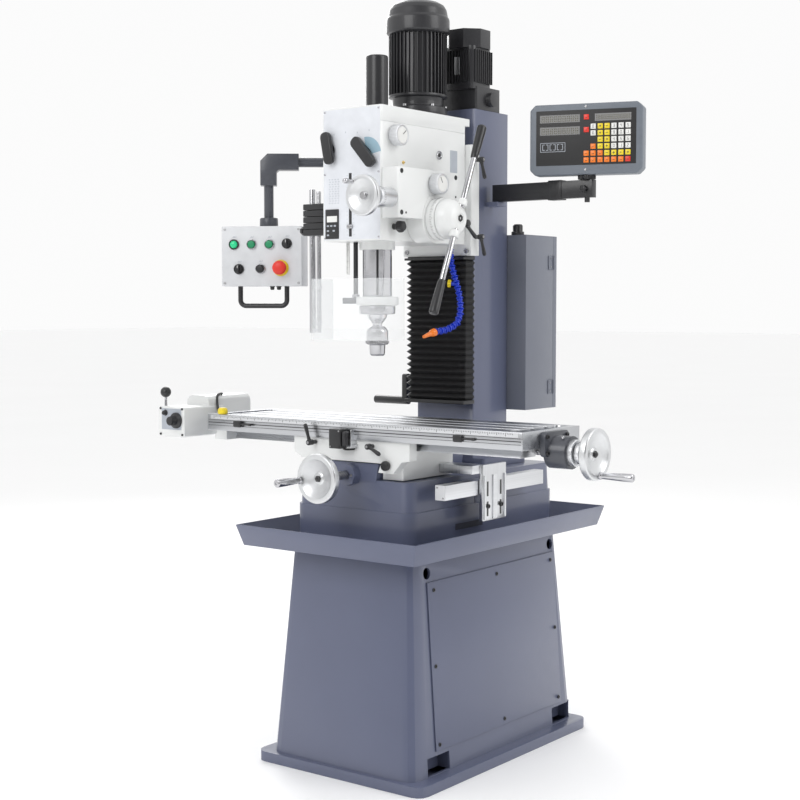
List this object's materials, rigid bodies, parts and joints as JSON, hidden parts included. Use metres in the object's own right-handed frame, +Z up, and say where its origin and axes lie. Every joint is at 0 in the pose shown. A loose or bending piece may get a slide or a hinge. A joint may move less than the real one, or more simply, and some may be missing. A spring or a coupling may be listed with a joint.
{
  "type": "milling machine",
  "caption": "Floor-standing geared-head mill-drill: hollow pedestal, chip tray, T-slot table on a cross slide, column, tilting head with quill and capstan, pendant and position readout.",
  "frame": {"origin": "on the floor, under the middle of the pedestal's base plate", "axes": "+Z up, -Y towards the operator's place in front of the table, +X to the operator's right along the table's travel"},
  "size_m": [1.4029, 1.0223, 2.0125],
  "materials": {
    "blue_paint": "gloss paint",
    "white_paint": "gloss paint",
    "machined": "ground",
    "polished": "polished",
    "black_paint": "satin paint",
    "black_plastic": "satin",
    "grey_paint": "satin paint",
    "bellows": "matte",
    "clear": "clear",
    "hose_blue": "moulded",
    "green": "moulded",
    "red": "moulded"
  },
  "bodies": {
    "base": {"stand": "blue_paint", "stand_service_cover": "blue_paint", "chip_tray": "blue_paint", "base_casting": "blue_paint", "column": "blue_paint", "electrical_cabinet": "grey_paint", "z_drive_motor": "black_paint", "bellows": "bellows", "y_scale": "machined"},
    "cabinet_door": {"cabinet_door": "grey_paint"},
    "z_screw": {"z_leadscrew": "machined"},
    "z_crank": {"z_crank": "black_plastic"},
    "y_wheel": {"y_handwheel": "polished", "y_leadscrew": "machined"},
    "y_grip": {"y_grip": "polished"},
    "saddle": {"saddle": "white_paint", "scale_reader": "machined"},
    "saddle_lock_left": {"saddle_lock_left": "black_plastic"},
    "saddle_lock_right": {"saddle_lock_right": "black_plastic"},
    "table": {"table": "machined", "x_bearing_housing": "grey_paint", "power_feed": "white_paint"},
    "x_wheel": {"x_handwheel": "polished", "x_leadscrew": "machined"},
    "x_grip": {"x_grip": "polished"},
    "feed_lever": {"feed_lever": "black_plastic"},
    "feed_dial": {"feed_dial": "black_plastic"},
    "head_slide": {"head_slide": "white_paint"},
    "slide_lock_upper": {"slide_lock_upper": "black_plastic"},
    "slide_lock_lower": {"slide_lock_lower": "black_plastic"},
    "head": {"head_casting": "white_paint", "head_top_cover": "white_paint", "worm_housing": "white_paint", "spindle_motor": "black_paint", "drawbar_cover": "black_plastic", "guard_clamp": "black_plastic", "coolant_hose": "hose_blue"},
    "gear_lever_left": {"gear_lever_left": "black_plastic"},
    "gear_lever_right": {"gear_lever_right": "black_plastic"},
    "range_knob": {"range_knob": "polished"},
    "feed_knob": {"feed_knob": "polished"},
    "quill_lock": {"quill_lock": "black_plastic"},
    "capstan": {"capstan_dial": "white_paint", "capstan_arms": "white_paint"},
    "fine_feed": {"fine_feed_wheel": "polished"},
    "quill": {"quill": "polished"},
    "spindle": {"spindle": "polished", "chuck": "polished"},
    "guard_rods": {"guard_rods": "machined"},
    "guard_shield": {"guard_shield": "clear"},
    "pendant_arm": {"pendant_arm": "grey_paint"},
    "pendant_box": {"pendant_box": "white_paint"},
    "button_forward": {"button_forward": "green"},
    "button_reverse": {"button_reverse": "green"},
    "button_stop": {"button_stop": "black_plastic"},
    "emergency_stop": {"emergency_stop": "red"},
    "selector_speed": {"selector_speed": "black_plastic"},
    "selector_coolant": {"selector_coolant": "black_plastic"},
    "readout_arm": {"readout_arm": "black_paint"},
    "readout_console": {"readout_console": "grey_paint"}
  },
  "joints": [
    {"name": "saddle_travel", "type": "slide", "parent": "base", "child": "saddle", "axis": [0, 1, 0], "range_m": [-0.1, 0.1]},
    {"name": "table_travel", "type": "slide", "parent": "saddle", "child": "table", "axis": [1, 0, 0], "range_m": [-0.25, 0.25]},
    {"name": "y_wheel_turn", "type": "hinge", "parent": "base", "child": "y_wheel", "pos_m": [0, -0.468, 0.7766], "axis": [0, 1, 0], "continuous": true},
    {"name": "y_grip_turn", "type": "hinge", "parent": "y_wheel", "child": "y_grip", "pos_m": [-0.0505, -0.4763, 0.7706], "axis": [0, 1, 0], "continuous": true},
    {"name": "x_wheel_turn", "type": "hinge", "parent": "table", "child": "x_wheel", "pos_m": [0.646, -0.219, 0.8572], "axis": [1, 0, 0], "continuous": true},
    {"name": "x_grip_turn", "type": "hinge", "parent": "x_wheel", "child": "x_grip", "pos_m": [0.6543, -0.213, 0.8067], "axis": [1, 0, 0], "continuous": true},
    {"name": "head_lift", "type": "slide", "parent": "base", "child": "head_slide", "axis": [0, 0, 1], "range_m": [-0.15, 0.06], "deforming": ["bellows"]},
    {"name": "z_screw_turn", "type": "hinge", "parent": "base", "child": "z_screw", "pos_m": [0, 0.13, 1.2], "axis": [0, 0, 1], "continuous": true},
    {"name": "z_crank_turn", "type": "hinge", "parent": "base", "child": "z_crank", "pos_m": [-0.12, 0.11, 1.0019], "axis": [1, 0, 0], "continuous": true},
    {"name": "head_tilt", "type": "hinge", "parent": "head_slide", "child": "head", "pos_m": [0, 0.036, 1.4899], "axis": [0, -1, 0], "range_deg": [-30, 30]},
    {"name": "quill_feed", "type": "slide", "parent": "head", "child": "quill", "axis": [0, 0, -1], "range_m": [0, 0.12], "stiffness_N_per_m": 300, "springref_m": -0.4},
    {"name": "spindle_turn", "type": "hinge", "parent": "quill", "child": "spindle", "pos_m": [0, -0.227, 1.15], "axis": [0, 0, 1], "continuous": true},
    {"name": "capstan_turn", "type": "hinge", "parent": "head", "child": "capstan", "pos_m": [0.15, -0.17, 1.4279], "axis": [1, 0, 0], "range_deg": [0, 385]},
    {"name": "fine_feed_turn", "type": "hinge", "parent": "head", "child": "fine_feed", "pos_m": [0.124, -0.332, 1.4739], "axis": [0, 1, 0], "continuous": true},
    {"name": "gear_lever_left_turn", "type": "hinge", "parent": "head", "child": "gear_lever_left", "pos_m": [-0.067, -0.332, 1.6029], "axis": [0, 1, 0], "range_deg": [0, 60]},
    {"name": "gear_lever_right_turn", "type": "hinge", "parent": "head", "child": "gear_lever_right", "pos_m": [0.051, -0.332, 1.5874], "axis": [0, 1, 0], "range_deg": [-45, 45]},
    {"name": "range_knob_turn", "type": "hinge", "parent": "head", "child": "range_knob", "pos_m": [0.0963, -0.282, 1.6339], "axis": [1, 0, 0], "range_deg": [-60, 60]},
    {"name": "feed_knob_turn", "type": "hinge", "parent": "head", "child": "feed_knob", "pos_m": [0.149, -0.183, 1.5159], "axis": [1, 0, 0], "range_deg": [-60, 60]},
    {"name": "quill_lock_turn", "type": "hinge", "parent": "head", "child": "quill_lock", "pos_m": [0.0963, -0.283, 1.4059], "axis": [1, 0, 0], "range_deg": [-90, 90]},
    {"name": "saddle_lock_left_turn", "type": "hinge", "parent": "saddle", "child": "saddle_lock_left", "pos_m": [-0.114, -0.341, 0.8542], "axis": [0, 1, 0], "range_deg": [-40, 40]},
    {"name": "saddle_lock_right_turn", "type": "hinge", "parent": "saddle", "child": "saddle_lock_right", "pos_m": [0.075, -0.341, 0.8532], "axis": [0, 1, 0], "range_deg": [-40, 40]},
    {"name": "slide_lock_upper_turn", "type": "hinge", "parent": "head_slide", "child": "slide_lock_upper", "pos_m": [0.1153, 0.055, 1.5979], "axis": [1, 0, 0], "range_deg": [0, 60]},
    {"name": "slide_lock_lower_turn", "type": "hinge", "parent": "head_slide", "child": "slide_lock_lower", "pos_m": [0.1153, 0.055, 1.3919], "axis": [1, 0, 0], "range_deg": [0, 60]},
    {"name": "feed_lever_turn", "type": "hinge", "parent": "table", "child": "feed_lever", "pos_m": [-0.6356, -0.365, 0.8742], "axis": [1, 0, 0], "range_deg": [-20, 20]},
    {"name": "feed_dial_turn", "type": "hinge", "parent": "table", "child": "feed_dial", "pos_m": [-0.5653, -0.4, 0.8922], "axis": [0, 1, 0], "range_deg": [-135, 135]},
    {"name": "cabinet_door_turn", "type": "hinge", "parent": "base", "child": "cabinet_door", "pos_m": [0.156, 0.4103, 1.16], "axis": [0, 0, -1], "range_deg": [0, 110]},
    {"name": "guard_height", "type": "slide", "parent": "head", "child": "guard_rods", "axis": [0, 0, 1], "range_m": [-0.04, 0.06]},
    {"name": "guard_swing", "type": "hinge", "parent": "guard_rods", "child": "guard_shield", "pos_m": [-0.136, -0.3, 1.2], "axis": [0, 0, -1], "range_deg": [0, 100]},
    {"name": "pendant_swing", "type": "hinge", "parent": "base", "child": "pendant_arm", "pos_m": [-0.128, 0.14, 1.6109], "axis": [0, 0, -1], "range_deg": [-10, 50]},
    {"name": "pendant_turn", "type": "hinge", "parent": "pendant_arm", "child": "pendant_box", "pos_m": [-0.463, -0.132, 1.4299], "axis": [0, 0, 1], "range_deg": [-45, 45]},
    {"name": "button_forward_press", "type": "slide", "parent": "pendant_box", "child": "button_forward", "axis": [-0.4848, 0.8746, 0], "range_m": [0, 0.004], "stiffness_N_per_m": 1500, "springref_m": -0.002},
    {"name": "button_reverse_press", "type": "slide", "parent": "pendant_box", "child": "button_reverse", "axis": [-0.4848, 0.8746, 0], "range_m": [0, 0.004], "stiffness_N_per_m": 1500, "springref_m": -0.002},
    {"name": "button_stop_press", "type": "slide", "parent": "pendant_box", "child": "button_stop", "axis": [-0.4848, 0.8746, 0], "range_m": [0, 0.004], "stiffness_N_per_m": 1500, "springref_m": -0.002},
    {"name": "emergency_stop_press", "type": "slide", "parent": "pendant_box", "child": "emergency_stop", "axis": [-0.4848, 0.8746, 0], "range_m": [0, 0.004], "stiffness_N_per_m": 1500, "springref_m": -0.002},
    {"name": "selector_speed_turn", "type": "hinge", "parent": "pendant_box", "child": "selector_speed", "pos_m": [-0.3891, -0.1396, 1.3809], "axis": [0.4848, -0.8746, 0], "range_deg": [-45, 45]},
    {"name": "selector_coolant_turn", "type": "hinge", "parent": "pendant_box", "child": "selector_coolant", "pos_m": [-0.5097, -0.2065, 1.3099], "axis": [0.4848, -0.8746, 0], "range_deg": [-45, 45]},
    {"name": "readout_swing", "type": "hinge", "parent": "base", "child": "readout_arm", "pos_m": [0.128, 0.15, 1.4902], "axis": [0, 0, 1], "range_deg": [-5, 70]},
    {"name": "readout_turn", "type": "hinge", "parent": "readout_arm", "child": "readout_console", "pos_m": [0.405, 0.15, 1.5], "axis": [0, 0, 1], "range_deg": [-45, 45]}
  ],
  "couplings": [
    {"joint": "y_wheel_turn", "follows": "saddle_travel", "rad_per_m": 1256.6},
    {"joint": "x_wheel_turn", "follows": "table_travel", "rad_per_m": 1256.6},
    {"joint": "z_screw_turn", "follows": "head_lift", "rad_per_m": 1256.6},
    {"joint": "z_crank_turn", "follows": "head_lift", "rad_per_m": 1256.6},
    {"joint": "capstan_turn", "follows": "quill_feed", "rad_per_m": 55.556}
  ]
}
